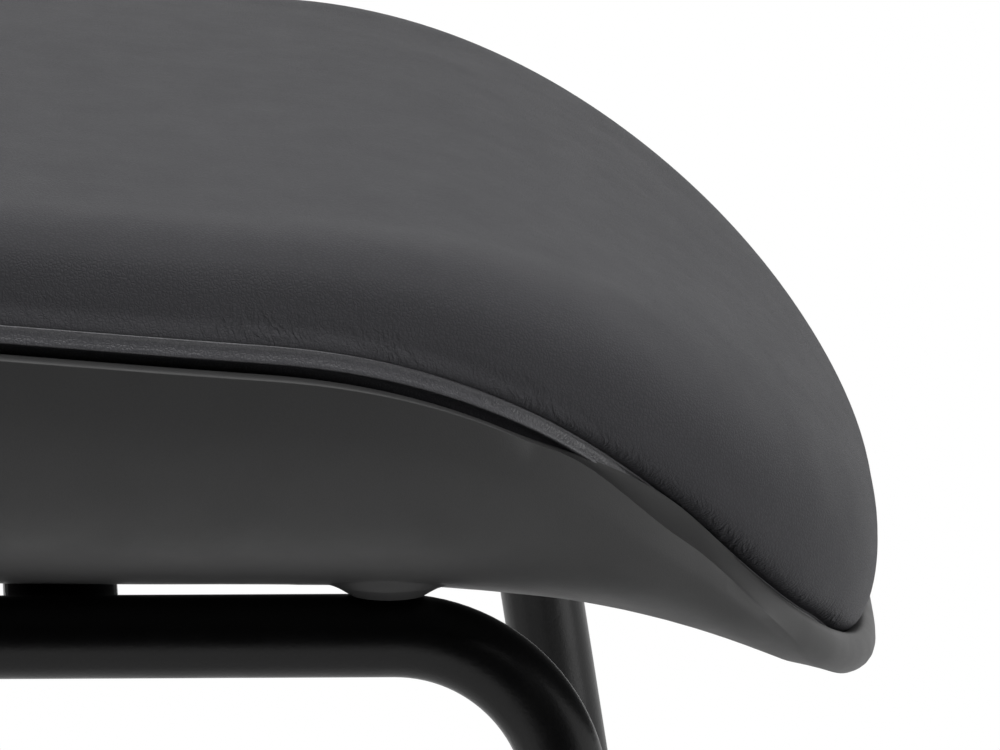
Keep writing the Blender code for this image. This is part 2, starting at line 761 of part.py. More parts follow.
def build_glides():
    cut_height = GLIDE_PAD_THICKNESS + SEAT_GAP
    for corner, (side, end) in CORNERS.items():
        foot = leg_point(side, end, GLIDE_HEIGHT)
        up = (leg_point(side, end, FOOTREST_HEIGHT) - foot).normalized()
        plug = turned("glide_plug", (
            (0.0, GLIDE_STEM),
            (TUBE_BORE - SEAT_GAP, GLIDE_STEM),
            (TUBE_BORE - SEAT_GAP, -SEAT_GAP),
            (TUBE_RADIUS, -SEAT_GAP),
            (TUBE_RADIUS, -GLIDE_HEIGHT - TUBE_DIAMETER),
            (0.0, -GLIDE_HEIGHT - TUBE_DIAMETER),
        ))
        plug.transform(Matrix.Translation(foot) @ up.to_track_quat("Z", "Y").to_matrix().to_4x4())
        bm = bmesh.new()
        bm.from_mesh(plug)
        cut = bmesh.ops.bisect_plane(
            bm, geom=bm.verts[:] + bm.edges[:] + bm.faces[:], plane_co=(0.0, 0.0, cut_height),
            plane_no=(0.0, 0.0, -1.0), clear_outer=True)
        rim = [item for item in cut["geom_cut"] if isinstance(item, bmesh.types.BMEdge)]
        bmesh.ops.edgeloop_fill(bm, edges=rim)
        add_part("glide_plug_" + corner, mesh_from("glide_plug", bm), GLIDE_NYLON)
        pad = add_part("glide_pad_" + corner, turned("glide_pad", (
            (0.0, GLIDE_PAD_THICKNESS),
            (GLIDE_PAD_RADIUS, GLIDE_PAD_THICKNESS),
            (GLIDE_PAD_RADIUS, 0.0),
            (0.0, 0.0),
        )), GLIDE_RUBBER)
        pad.location = leg_point(side, end, 0.0) * Vector((1.0, 1.0, 0.0))


frame_cutters = {}
for side_name, side_sign in SIDES.items():
    room = pipe("frame_room", frame_path(side_sign), TUBE_RADIUS + SEAT_GAP, 2 * TUBE_SIDES)
    frame_cutters[side_sign] = add_cutter("frame_room_" + side_name, room)

build_shell()
build_pan()
build_fasteners()
build_pad()
build_side_frames()
build_cross_bar()
build_footrest()
build_glides()

root = bpy.data.objects.new("bar_stool_root", None)
stool.objects.link(root)
for item in stool.objects:
    if item != root:
        item.parent = root
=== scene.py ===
from math import cos, sin, tan, tanh, pi, radians, copysign, sqrt
import bpy
import bmesh
from mathutils import Vector, Matrix


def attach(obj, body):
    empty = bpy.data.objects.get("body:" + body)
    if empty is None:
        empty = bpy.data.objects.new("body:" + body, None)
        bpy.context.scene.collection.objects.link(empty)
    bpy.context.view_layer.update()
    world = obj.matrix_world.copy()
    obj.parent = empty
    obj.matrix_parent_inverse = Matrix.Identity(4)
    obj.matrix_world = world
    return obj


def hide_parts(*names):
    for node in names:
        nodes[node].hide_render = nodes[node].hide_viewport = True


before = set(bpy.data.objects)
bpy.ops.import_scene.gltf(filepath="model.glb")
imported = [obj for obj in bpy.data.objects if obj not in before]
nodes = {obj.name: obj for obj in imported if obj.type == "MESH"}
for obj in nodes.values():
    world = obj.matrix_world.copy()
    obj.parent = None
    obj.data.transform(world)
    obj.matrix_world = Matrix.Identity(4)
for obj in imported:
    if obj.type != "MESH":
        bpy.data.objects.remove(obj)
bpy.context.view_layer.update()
scene = bpy.context.scene

# the seat's lines, in metres, as the solids have them but for a fuller bead and a gentler climb of the lip
seat = {
    "around": 300, "halfWidth": 0.200, "front": 0.2173, "rear": 0.2173, "squareness": 3.0, "wall": 0.0045,
    "rimRise": 0.0805, "rimSlope": 0.084,
    "frontDrop": 0.0825, "frontFrom": 0.050, "frontStraight": 0.168, "frontPower": 2.33,
    "rearRise": 0.030, "rearFrom": 0.070,
    "frontDepth": 0.017, "bellyFrom": 0.060, "bellyPower": 3.0, "bellyRearRise": 0.022, "basinPower": 3.0,
    "pocketFrom": 0.165, "pocketTo": 0.210,
    "bossX": 0.135, "bossY": 0.0853, "bossGap": 0.0024, "tubeTop": 0.641,
    "lip": 0.007, "lipCrest": 0.0035, "coveCrest": 0.0062, "lipRound": 0.0010, "lipInner": 0.0020,
    "coveDepth": 0.9, "coveFrom": 0.112, "coveTo": 0.136, "coveFades": 0.172, "coveGone": 0.204,
    "beadFrom": 0.176, "beadTo": 0.208, "beadTurn": radians(72), "beadRound": 0.0075,
    "beadDraw": 0.0010, "drawFrom": 0.940,
    "lipSide": 0.0012, "lipCorner": 0.0108, "lipFront": 0.0112, "growsFrom": 0.128, "growsTo": 0.162,
    "lipRise": 0.0072, "risesFrom": 0.116, "risesTo": 0.166, "settlesFrom": 0.165, "settlesTo": 0.205,
}


def smooth(value, start, end):
    share = min(max((value - start) / (end - start), 0.0), 1.0)
    return share * share * (3 - 2 * share)


def mix(a, b, share):
    return a + (b - a) * share


def reach(y, inset):
    return (seat["rear"] if y > 0 else seat["front"]) - inset


def rimPoint(angle, inset):
    power = 2 / seat["squareness"]
    across = copysign(abs(cos(angle)) ** power, cos(angle))
    along = copysign(abs(sin(angle)) ** power, sin(angle))
    return (seat["halfWidth"] - inset) * across, reach(along, inset) * along


def evenAngles(count):  # angles that step evenly along the rim
    fine = 12000
    points = [rimPoint(2 * pi * k / fine, 0.0) for k in range(fine + 1)]
    run = [0.0]
    for (ax, ay), (bx, by) in zip(points, points[1:]):
        run.append(run[-1] + sqrt((bx - ax) ** 2 + (by - ay) ** 2))
    angles, k = [], 0
    for step in range(count):
        goal = run[-1] * step / count
        while run[k + 1] < goal:
            k += 1
        angles.append(2 * pi * (k + (goal - run[k]) / (run[k + 1] - run[k])) / fine)
    return angles, run[-1]


def fall(y, start, depth, power, straight):
    bend = straight - start
    steep = max(-y - straight, 0.0) / bend * power
    full = 1 + (seat["front"] - straight) / bend * power
    return depth / full * ((min(max(-y - start, 0.0), bend) / bend) ** power + steep)


def climb(y, rise):
    return rise * (max(y - seat["rearFrom"], 0.0) / (seat["rear"] - seat["rearFrom"])) ** 2


def crest(y):  # top of the sides, over the belly's underside
    drop = fall(y, seat["frontFrom"], seat["frontDrop"], seat["frontPower"], seat["frontStraight"])
    return seat["rimRise"] + seat["rimSlope"] * y + climb(y, seat["rearRise"]) - drop


def belly(y):
    crestFront = seat["rimRise"] - seat["rimSlope"] * seat["front"] - seat["frontDrop"]
    drop = fall(y, seat["bellyFrom"], seat["frontDepth"] - crestFront, seat["bellyPower"], seat["front"])
    return climb(y, seat["bellyRearRise"]) - drop


def lipShare(y):  # how far the lip has climbed to the seam
    return smooth(-y, seat["risesFrom"], seat["risesTo"])


def lipSettled(y):  # and settled again round the front
    return smooth(-y, seat["settlesFrom"], seat["settlesTo"])


def lipHeight(y):
    grown = mix(seat["lipSide"], seat["lipCorner"], smooth(-y, seat["growsFrom"], seat["growsTo"]))
    return mix(grown, seat["lipFront"], lipSettled(y))


def lipTop(y):
    return crest(y) + seat["lipRise"] * lipShare(y) * (1 - lipSettled(y))


def lipFoot(y):
    return lipTop(y) - lipHeight(y)


def coveShare(y):  # round the front corners the lip's face is hollow, with a ridge below it
    grown = smooth(-y, seat["coveFrom"], seat["coveTo"])
    return seat["coveDepth"] * grown * (1 - smooth(-y, seat["coveFades"], seat["coveGone"]))


def beadShare(y):  # round the front the lip is a full bead
    return smooth(-y, seat["beadFrom"], seat["beadTo"])


def beadDraw(y, scale):  # and the underside draws in behind it
    share = beadShare(y)
    behind = seat["beadDraw"] * share * (1 - smooth(scale, seat["drawFrom"], 1.0))
    return seat["beadRound"] * (1 - cos(seat["beadTurn"] * share)) + behind


def innerEdge(y):
    return crest(y) - seat["lipInner"]


def basinShare(scale):
    power = seat["basinPower"]
    return 1 - max(1 - scale ** power, 0.0) ** (1 / power)


def basin(x, y, inset, lift, edge):
    across = abs(x) / (seat["halfWidth"] - inset)
    along = abs(y) / reach(y, inset)
    scale = (across ** seat["squareness"] + along ** seat["squareness"]) ** (1 / seat["squareness"])
    rimY = y / scale if scale > 0 else 0.0
    lipY = rimY * reach(y, 0.0) / reach(y, inset)
    return belly(y) + lift + (edge(lipY) - belly(rimY) - lift) * basinShare(min(scale, 1.0))


bellyHeight = seat["tubeTop"] + seat["bossGap"] - basin(seat["bossX"], -seat["bossY"], 0.0, 0.0, lipFoot)


def pocketShare(y):  # how far the strip has dived into the front pocket
    return smooth(-y, seat["pocketFrom"], seat["pocketTo"])


angles, rimLength = evenAngles(seat["around"])


# mesh helpers

def skin(bm, rings, closed=False):
    loops = [[bm.verts.new(point) for point in ring] for ring in rings]
    pairs = list(zip(loops, loops[1:] + loops[:1] if closed else loops[1:]))
    for lower, upper in pairs:
        count = max(len(lower), len(upper))
        for k in range(count):
            n = (k + 1) % count
            if len(lower) == 1:
                bm.faces.new((lower[0], upper[n], upper[k]))
            elif len(upper) == 1:
                bm.faces.new((lower[k], lower[n], upper[0]))
            else:
                bm.faces.new((lower[k], lower[n], upper[n], upper[k]))
    return loops


def meshPiece(name, bm, material, smoothAngle=None):
    bmesh.ops.recalc_face_normals(bm, faces=bm.faces)
    mesh = bpy.data.meshes.new(name)
    bm.to_mesh(mesh)
    bm.free()
    piece = bpy.data.objects.new(name, mesh)
    scene.collection.objects.link(piece)
    mesh.materials.append(material)
    mesh.shade_smooth()
    if smoothAngle:
        mesh.set_sharp_from_angle(angle=smoothAngle)
    return piece


# material helpers

def blankMaterial(name):
    made = bpy.data.materials.new(name)
    made.use_nodes = True
    tree = made.node_tree
    return made, tree, tree.nodes["Principled BSDF"]


def addNode(tree, kind, values=None, **settings):
    node = tree.nodes.new(kind)
    for key, value in settings.items():
        setattr(node, key, value)
    for key, value in (values or {}).items():
        node.inputs[key].default_value = value
    return node


def ramp(tree, source, stops):
    node = tree.nodes.new("ShaderNodeValToRGB")
    first, last = node.color_ramp.elements[0], node.color_ramp.elements[1]
    first.position, first.color = stops[0][0], (*stops[0][1], 1.0)
    last.position, last.color = stops[-1][0], (*stops[-1][1], 1.0)
    for place, colour in stops[1:-1]:
        node.color_ramp.elements.new(place).color = (*colour, 1.0)
    tree.links.new(source, node.inputs["Fac"])
    return node.outputs["Color"]


def remap(tree, source, low, high, toLow, toHigh):
    node = addNode(tree, "ShaderNodeMapRange", {1: low, 2: high, 3: toLow, 4: toHigh})
    tree.links.new(source, node.inputs["Value"])
    return node.outputs["Result"]


def sums(tree, operation, a, b, c=-1.0):
    node = addNode(tree, "ShaderNodeMath", operation=operation)
    for k, item in enumerate((a, b, c)):
        if isinstance(item, (int, float)):
            node.inputs[k].default_value = item
        else:
            tree.links.new(item, node.inputs[k])
    return node.outputs["Value"]


def grainNoise(tree, place, scale, detail=2.0, rough=0.5):
    node = addNode(tree, "ShaderNodeTexNoise", {"Scale": scale, "Detail": detail, "Roughness": rough})
    tree.links.new(place, node.inputs["Vector"])
    return node.outputs["Fac"]


def bumpOn(tree, height, distance, strength=1.0, under=None):
    node = addNode(tree, "ShaderNodeBump", {"Strength": strength, "Distance": distance})
    tree.links.new(height, node.inputs["Height"])
    if under:
        tree.links.new(under, node.inputs["Normal"])
    return node.outputs["Normal"]


def objectPlace(tree):
    return addNode(tree, "ShaderNodeTexCoord").outputs["Object"]


# leather

leather = {
    "dark": (0.068, 0.0674, 0.0736), "light": (0.072, 0.0714, 0.0778), "grooveShade": (0.043, 0.043, 0.047),
    "grain": 1050.0, "pores": 3800.0, "grainDepth": 0.00010, "roughLow": 0.59, "roughHigh": 0.65, "specular": 0.17,
    # the strip's colours are multiplied by this factor: painted light for the strip, lighter than the pad's leather
    "stripRough": (0.36, 0.44), "stripSpecular": 0.69, "stripPaintedLight": 1.45,
    "creaseDepth": 0.00036, "creaseRun": 520.0, "creaseRise": 190.0,
}


def creaseHeight(tree):  # short pulls that lean up from the seam, in patches along it
    uv = addNode(tree, "ShaderNodeUVMap", uv_map="rimRun").outputs["UV"]
    up = addNode(tree, "ShaderNodeSeparateXYZ")
    tree.links.new(uv, up.inputs[0])
    wander = addNode(tree, "ShaderNodeTexNoise", {"Scale": 210.0, "Detail": 1.0})
    tree.links.new(uv, wander.inputs["Vector"])
    bent = addNode(tree, "ShaderNodeMix", {0: 0.004}, data_type="VECTOR")
    tree.links.new(uv, bent.inputs[4])
    tree.links.new(wander.outputs["Color"], bent.inputs[5])
    stretch = addNode(tree, "ShaderNodeMapping", {"Rotation": (0.0, 0.0, 0.45),
                                                  "Scale": (leather["creaseRun"], leather["creaseRise"], 1.0)})
    tree.links.new(bent.outputs[1], stretch.inputs["Vector"])
    waves = grainNoise(tree, stretch.outputs["Vector"], 1.0, 1.5, 0.5)
    fold = sums(tree, "SUBTRACT", 1.0, sums(tree, "ABSOLUTE", sums(tree, "MULTIPLY_ADD", waves, 2.0), 0.0))
    ridge = remap(tree, fold, 0.70, 1.0, 0.0, 1.0)
    patches = addNode(tree, "ShaderNodeMapping", {"Scale": (30.0, 60.0, 1.0)})
    tree.links.new(uv, patches.inputs["Vector"])
    patch = remap(tree, grainNoise(tree, patches.outputs["Vector"], 1.0, 2.0), 0.40, 0.62, 0.25, 1.0)
    nearSeam = sums(tree, "MULTIPLY", remap(tree, up.outputs["Y"], 0.0004, 0.0030, 0.3, 1.0),
                    remap(tree, up.outputs["Y"], 0.0045, 0.0125, 1.0, 0.0))
    return sums(tree, "MULTIPLY", ridge, sums(tree, "MULTIPLY", patch, nearSeam))


def leatherMaterial(name, creased):
    made, tree, shader = blankMaterial(name)
    place = objectPlace(tree)
    cells = addNode(tree, "ShaderNodeTexVoronoi", {"Scale": leather["grain"], "Randomness": 1.0},
                    feature="DISTANCE_TO_EDGE")
    warp = addNode(tree, "ShaderNodeTexNoise", {"Scale": 420.0, "Detail": 2.0})
    tree.links.new(place, warp.inputs["Vector"])
    warped = addNode(tree, "ShaderNodeMix", {0: 0.0012}, data_type="VECTOR")
    tree.links.new(place, warped.inputs[4])
    tree.links.new(warp.outputs["Color"], warped.inputs[5])
    tree.links.new(warped.outputs[1], cells.inputs["Vector"])
    pebble = remap(tree, cells.outputs["Distance"], 0.0, 0.28, 0.0, 1.0)
    pores = grainNoise(tree, place, leather["pores"], 2.0)
    cloud = grainNoise(tree, place, 22.0, 3.0, 0.55)
    # the strip's copy of the leather is painted lighter by this factor: painted light standing in for light its
    # recess under the pad does not catch
    lift = 1.0 if creased else leather["stripPaintedLight"]
    dark, light = ([lift * part for part in leather[name]] for name in ("dark", "light"))
    tone = ramp(tree, cloud, ((0.35, dark), (0.70, light)))
    # the grooves between the grain's pebbles are mixed towards a darker colour: painted shade in the grain's recesses
    deep = addNode(tree, "ShaderNodeMix", {0: 0.5}, data_type="RGBA")
    tree.links.new(remap(tree, pebble, 0.0, 0.6, 0.45, 0.0), deep.inputs[0])
    tree.links.new(tone, deep.inputs[6])
    deep.inputs[7].default_value = (*leather["grooveShade"], 1.0)
    tree.links.new(deep.outputs[2], shader.inputs["Base Color"])
    wear = grainNoise(tree, place, 60.0, 4.0, 0.6)
    low, high = (leather["roughLow"], leather["roughHigh"]) if creased else leather["stripRough"]
    tree.links.new(remap(tree, wear, 0.3, 0.7, low, high), shader.inputs["Roughness"])
    shader.inputs["Specular IOR Level"].default_value = leather["specular"] if creased else leather["stripSpecular"]
    fine = sums(tree, "ADD", pebble, sums(tree, "MULTIPLY", pores, 0.5))
    folds = bumpOn(tree, creaseHeight(tree), leather["creaseDepth"]) if creased else None
    depth = leather["grainDepth"] if creased else leather["grainDepth"] * 0.5
    tree.links.new(bumpOn(tree, fine, depth, 1.0, folds), shader.inputs["Normal"])
    return made


# moulded plastic, powder coat and the small parts

def mouldedPlastic(name, dark, light, texture, depth, roughLow, roughHigh, specular):
    made, tree, shader = blankMaterial(name)
    place = objectPlace(tree)
    sparks = grainNoise(tree, place, texture, 3.0, 0.6)
    cloud = grainNoise(tree, place, 9.0, 3.0)
    tone = sums(tree, "ADD", sums(tree, "MULTIPLY", sparks, 0.6), sums(tree, "MULTIPLY", cloud, 0.4))
    tree.links.new(ramp(tree, tone, ((0.36, dark), (0.64, light))), shader.inputs["Base Color"])
    scuff = grainNoise(tree, place, 45.0, 4.0, 0.6)
    tree.links.new(remap(tree, scuff, 0.3, 0.7, roughLow, roughHigh), shader.inputs["Roughness"])
    shader.inputs["Specular IOR Level"].default_value = specular
    tree.links.new(bumpOn(tree, sparks, depth), shader.inputs["Normal"])
    return made


def metalFinish(name, dark, light, scale, depth, roughLow, roughHigh, metallic):
    made, tree, shader = blankMaterial(name)
    place = objectPlace(tree)
    stretch = addNode(tree, "ShaderNodeMapping", {"Scale": (1.0, 1.0, 0.06)})
    tree.links.new(place, stretch.inputs["Vector"])
    lines = grainNoise(tree, stretch.outputs["Vector"], scale, 3.0)
    tree.links.new(ramp(tree, lines, ((0.3, dark), (0.7, light))), shader.inputs["Base Color"])
    tree.links.new(remap(tree, lines, 0.3, 0.7, roughLow, roughHigh), shader.inputs["Roughness"])
    shader.inputs["Metallic"].default_value = metallic
    tree.links.new(bumpOn(tree, lines, depth), shader.inputs["Normal"])
    return made


padLeather = leatherMaterial("pad_leather", True)
# the strip's leather is a lighter copy of the pad's leather: painted light, not a different hide
stripLeather = leatherMaterial("strip_leather", False)
shellPlastic = mouldedPlastic("shell_plastic", (0.029, 0.029, 0.0294), (0.037, 0.037, 0.0374), 2600.0, 0.00005,
                              0.48, 0.58, 0.5)
framePaint = mouldedPlastic("frame_paint", (0.0028, 0.0028, 0.0030), (0.0050, 0.0050, 0.0054), 900.0, 0.00006,
                            0.30, 0.38, 0.28)
glideNylon = mouldedPlastic("glide_nylon", (0.010, 0.010, 0.010), (0.016, 0.016, 0.016), 1800.0, 0.00004,
                            0.45, 0.58, 0.35)
glideRubber = mouldedPlastic("glide_rubber", (0.007, 0.007, 0.007), (0.013, 0.013, 0.012), 700.0, 0.00010,
                             0.78, 0.92, 0.30)
panPlastic = mouldedPlastic("pan_plastic", (0.07, 0.07, 0.07), (0.11, 0.11, 0.11), 1500.0, 0.00005, 0.5, 0.65, 0.4)
darkSteel = metalFinish("dark_steel", (0.035, 0.035, 0.037), (0.070, 0.070, 0.074), 1500.0, 0.00002, 0.28, 0.42, 1.0)
print("materials made")


# padded seat: leather pulled over foam, from the seam up over the crown

pad = {
    "height": 0.0352, "crown": 0.004, "drop": 0.0640, "dropFrom": 0.070, "dropPower": 2.03,
    "full": 0.016, "fullHigh": 0.0202, "fullSide": 0.0055, "fullFront": -0.0005,
    "cornerSquare": 3.2, "cornerFades": 0.190, "cornerGone": 0.214, "flare": 0.0018, "flareHeight": 0.006,
    "shoulderSide": 0.036, "shoulderFront": 0.0415, "sideSquare": 3.2, "frontSquare": 2.58,
    "softFrom": 0.040, "softTo": 0.190,
    "seamSide": 0.0078, "seamFront": 0.003, "seamInset": 0.006, "tuckInset": 0.0085,
    "seamDip": 0.0044, "dipFrom": 0.204, "dipTo": 0.2165,
    "foamInset": 0.0121, "foamLift": 0.0166, "hem": 0.0011, "hemDeep": 0.0030, "hemDrop": 0.0010,
    "wallRows": 14, "shoulderRows": 26, "topRows": 16,
    "slack": 0.0002, "slackFrom": 0.5, "slackTo": 0.9, "swellCap": 0.0012, "drawCap": 0.0004, "ease": 8.0,
}
swelling = {"frames": 20, "quality": 6, "mass": 0.3, "stretch": 60.0, "shear": 30.0, "bending": 0.5, "pressure": 2.0}


def padTop(y):
    drop = fall(y, pad["dropFrom"], pad["drop"], pad["dropPower"], seat["front"])
    return seat["rimRise"] + pad["height"] + seat["rimSlope"] * y + climb(y, seat["rearRise"]) - drop


def seamPlace(y):  # its inset from the rim and its height over the crest
    dip = pad["seamDip"] * smooth(-y, pad["dipFrom"], pad["dipTo"])
    height = mix(pad["seamSide"], pad["seamFront"], pocketShare(y)) - dip
    return mix(pad["seamInset"], pad["tuckInset"], lipShare(y)), height


def frontShare(y):
    return smooth(-y, pad["softFrom"], pad["softTo"])


def fullInset(y):
    return mix(pad["fullSide"], pad["fullFront"], frontShare(y))


def fullHeight(y):
    return mix(pad["full"], pad["fullHigh"], frontShare(y))


def wallPoint(angle, turn):  # between the seam and the fullest line, flared a little where it meets the strip
    rimY = rimPoint(angle, 0.0)[1]
    inset, height = seamPlace(rimY)
    full, high = fullInset(rimY), fullHeight(rimY)
    corner = lipShare(rimY) * (1 - smooth(-rimY, pad["cornerFades"], pad["cornerGone"]))
    power = 2 / mix(2.0, pad["cornerSquare"], corner)
    up = (high - height) * (1 - cos(turn) ** power)
    flare = pad["flare"] * (1 - lipShare(rimY)) * (1 - smooth(up, 0.0, pad["flareHeight"]))
    x, y = rimPoint(angle, full + (inset - full) * (1 - sin(turn) ** power) - flare)
    return Vector((x, y, bellyHeight + crest(rimY) + height + up))


def shoulderPoint(angle, turn):  # from the fullest line over to the top
    rimY = rimPoint(angle, 0.0)[1]
    share = frontShare(rimY)
    width = mix(pad["shoulderSide"], pad["shoulderFront"], share)
    power = 2 / mix(pad["sideSquare"], pad["frontSquare"], share)
    x, y = rimPoint(angle, fullInset(rimY) + width * (1 - max(cos(turn), 0.0) ** power))
    return Vector((x, y, bellyHeight + mix(crest(rimY) + fullHeight(rimY), padTop(y), sin(turn) ** power)))


def hemPoint(angle, inset, drop):  # turned-in edge under the seam
    rimY = rimPoint(angle, 0.0)[1]
    seamInset, height = seamPlace(rimY)
    x, y = rimPoint(angle, seamInset + inset)
    return Vector((x, y, bellyHeight + crest(rimY) + height - drop))


def basinPoint(angle, scale, inset, lift, edge):
    rimX, rimY = rimPoint(angle, inset)
    y = rimY * scale
    depth = (edge(rimPoint(angle, 0.0)[1]) - belly(rimY) - lift) * basinShare(scale)
    return Vector((rimX * scale, y, bellyHeight + belly(y) + lift + depth))


def padRings():
    rings = [[Vector((0.0, 0.0, bellyHeight + belly(0.0) + pad["foamLift"]))]]
    for scale in (0.3, 0.55, 0.75, 0.9, 0.97, 1.0):
        rings.append([basinPoint(a, scale, pad["foamInset"], pad["foamLift"], crest) for a in angles])
    rings.append([hemPoint(a, pad["hemDeep"], pad["hemDrop"]) for a in angles])
    rings.append([hemPoint(a, pad["hem"], 0.0) for a in angles])
    seamRow = len(rings)
    for step in range(pad["wallRows"]):
        rings.append([wallPoint(a, pi / 2 * step / pad["wallRows"]) for a in angles])
    for step in range(pad["shoulderRows"] + 1):
        rings.append([shoulderPoint(a, pi / 2 * step / pad["shoulderRows"]) for a in angles])
    edge = rings[-1]
    for step in range(1, pad["topRows"]):
        scale = 1 - step / pad["topRows"]
        rise = bellyHeight + pad["crown"] * (1 - scale * scale)
        rings.append([Vector((p.x * scale, p.y * scale, rise + padTop(p.y * scale))) for p in edge])
    rings.append([Vector((0.0, 0.0, bellyHeight + padTop(0.0) + pad["crown"]))])
    return rings, seamRow


def swell(piece, held):  # the leather starts a little small and the foam's pressure fills it
    mesh = piece.data
    ways = [vert.normal.copy() for vert in mesh.vertices]
    start = []
    for vert, way in zip(mesh.vertices, ways):
        vert.co -= way * pad["slack"] * smooth(way.z, pad["slackFrom"], pad["slackTo"])
        start.append(vert.co.copy())
    piece.vertex_groups.new(name="held").add(held, 1.0, "REPLACE")
    cloth = piece.modifiers.new("swell", "CLOTH")
    fabric = cloth.settings
    fabric.quality, fabric.mass = swelling["quality"], swelling["mass"]
    fabric.tension_stiffness = fabric.compression_stiffness = swelling["stretch"]
    fabric.shear_stiffness, fabric.bending_stiffness = swelling["shear"], swelling["bending"]
    fabric.use_pressure, fabric.uniform_pressure_force = True, swelling["pressure"]
    fabric.effector_weights.gravity = 0.0
    fabric.vertex_group_mass = "held"
    cloth.collision_settings.use_collision = False
    cloth.point_cache.frame_start, cloth.point_cache.frame_end = 1, swelling["frames"]
    for step in range(1, swelling["frames"] + 1):
        scene.frame_set(step)
    swollen = piece.evaluated_get(bpy.context.evaluated_depsgraph_get()).data
    moves = [(after.co - before).dot(way) for after, before, way in zip(swollen.vertices, start, ways)]
    piece.modifiers.remove(cloth)
    piece.vertex_groups.clear()
    print("pad swelled", max(moves), min(moves), sum(moves) / len(moves))
    for vert, place, way, move in zip(mesh.vertices, start, ways, moves):
        cap = pad["swellCap"] if move > 0 else pad["drawCap"]
        vert.co = place + way * cap * tanh(move / (pad["ease"] * cap))  # the foam holds it near its shape
    scene.frame_set(1)


rings, seamRow = padRings()
bm = bmesh.new()
loops = skin(bm, rings)
bm.verts.index_update()
uv = bm.loops.layers.uv.new("rimRun")
runs = {}
for row, loop in enumerate(loops):
    for k, vert in enumerate(loop):
        up = 0.0
        if row > seamRow:
            up = sum((rings[r][k % len(rings[r])] - rings[r - 1][k % len(rings[r - 1])]).length
                     for r in range(seamRow + 1, row + 1))
        runs[vert] = (rimLength * k / len(angles), up)
for face in bm.faces:
    along = [runs[corner.vert][0] for corner in face.loops]
    wraps = max(along) - min(along) > rimLength / 2
    for corner in face.loops:
        u, v = runs[corner.vert]
        if wraps and u < rimLength / 2:
            u += rimLength
        corner[uv].uv = (u, v)
held = [vert.index for row, loop in enumerate(loops) for vert in loop if row <= seamRow]
padPiece = meshPiece("leather_pad", bm, padLeather)
swell(padPiece, held)
print("pad made", len(padPiece.data.vertices))
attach(padPiece, "root")
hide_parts("seat_cover", "seat_foam")


# border strip under the seam, with a rounded upper edge that stands a little proud

strip = {"side": 0.0046, "front": 0.0012, "out": 0.0011, "lean": 0.0009, "turn": 0.0015, "turnFront": 0.0004,
         "thick": 0.0016, "gap": 0.0003, "tuckScales": (0.98, 0.995)}


def stripPoint(angle, out, drop):  # on the face that shows, drop in shares of its width
    rimY = rimPoint(angle, 0.0)[1]
    inset, height = seamPlace(rimY)
    width = mix(strip["side"], strip["front"], pocketShare(rimY))
    proud = (strip["out"] + strip["lean"] * drop) * (1 - lipShare(rimY))
    x, y = rimPoint(angle, inset - proud - out)
    return Vector((x, y, bellyHeight + crest(rimY) + height - strip["gap"] - width * drop))


def tuckPoint(angle, thick):  # the edge that stands on the shell's inner face
    inside = max(basinPoint(angle, scale, seat["lip"], seat["wall"], innerEdge).z for scale in strip["tuckScales"])
    x, y = rimPoint(angle, pad["tuckInset"] + thick)
    return Vector((x, y, inside + strip["gap"]))


def turnPoint(angle, thick):  # where the strip turns in under its lower edge
    rimY = rimPoint(angle, 0.0)[1]
    share = pocketShare(rimY)
    width = mix(strip["side"], strip["front"], share) + mix(strip["turn"], strip["turnFront"], share)
    height = seamPlace(rimY)[1] - strip["gap"] - width
    x, y = rimPoint(angle, pad["tuckInset"] + thick)
    return Vector((x, y, bellyHeight + crest(rimY) + height))


profile = ((-0.0016, 0.06), (-0.0008, -0.06), (0.0, -0.11), (0.0006, -0.09), (0.0010, -0.01), (0.0009, 0.08),
           (0.0006, 0.16), (0.0005, 0.30), (0.0005, 0.50), (0.0006, 0.70), (0.0007, 0.85), (0.0006, 0.94),
           (0.0002, 1.0), (-0.0005, 1.01), (-0.0012, 0.99))
bm = bmesh.new()
stripRings = [[stripPoint(a, out, drop) for a in angles] for out, drop in profile]
stripRings += [[turnPoint(a, 0.0) for a in angles], [tuckPoint(a, 0.0) for a in angles]]
stripRings += [[tuckPoint(a, strip["thick"]) for a in angles], [turnPoint(a, strip["thick"]) for a in angles]]
stripRings += [[stripPoint(a, -strip["thick"], 1.0) for a in angles]]
skin(bm, stripRings, closed=True)
stripPiece = meshPiece("border_strip", bm, stripLeather)
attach(stripPiece, "root")
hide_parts("cover_border")
print("strip made")


# moulded shell: basin, rolled lip, inner face and the four bosses

shell = {"straightFrom": 0.966, "sharp": radians(80)}
boss = {"around": 96, "foot": 0.010, "radius": 0.0158, "flare": 0.0036, "steep": 9.0, "blend": 0.0016, "gap": 0.0003,
        "proud": 0.00004, "sinks": 0.0004, "sinksFrom": 0.024, "reach": 0.034}


def facePoint(angle, turn):  # on the lip's face, from its edge up to its crest
    rimY = rimPoint(angle, 0.0)[1]
    hollow, low = coveShare(rimY), seat["beadTurn"] * beadShare(rimY)
    full = mix(-low, pi / 2, turn / (pi / 2))
    risen = (sin(full) + sin(low)) / (1 + sin(low))
    wide = seat["lipCrest"] if full > 0 else seat["beadRound"]
    x, y = rimPoint(angle, mix(wide * (1 - cos(full)), seat["coveCrest"] * sin(turn), hollow))
    return Vector((x, y, bellyHeight + lipFoot(rimY) + lipHeight(rimY) * mix(risen, 1 - cos(turn), hollow)))


def crownPoint(angle, turn):  # from the crest over to the lip's inner corner
    rimY = rimPoint(angle, 0.0)[1]
    x, y = rimPoint(angle, mix(mix(seat["lipCrest"], seat["coveCrest"], coveShare(rimY)), seat["lip"], sin(turn)))
    return Vector((x, y, bellyHeight + lipTop(rimY) - seat["lipRound"] * (1 - cos(turn))))


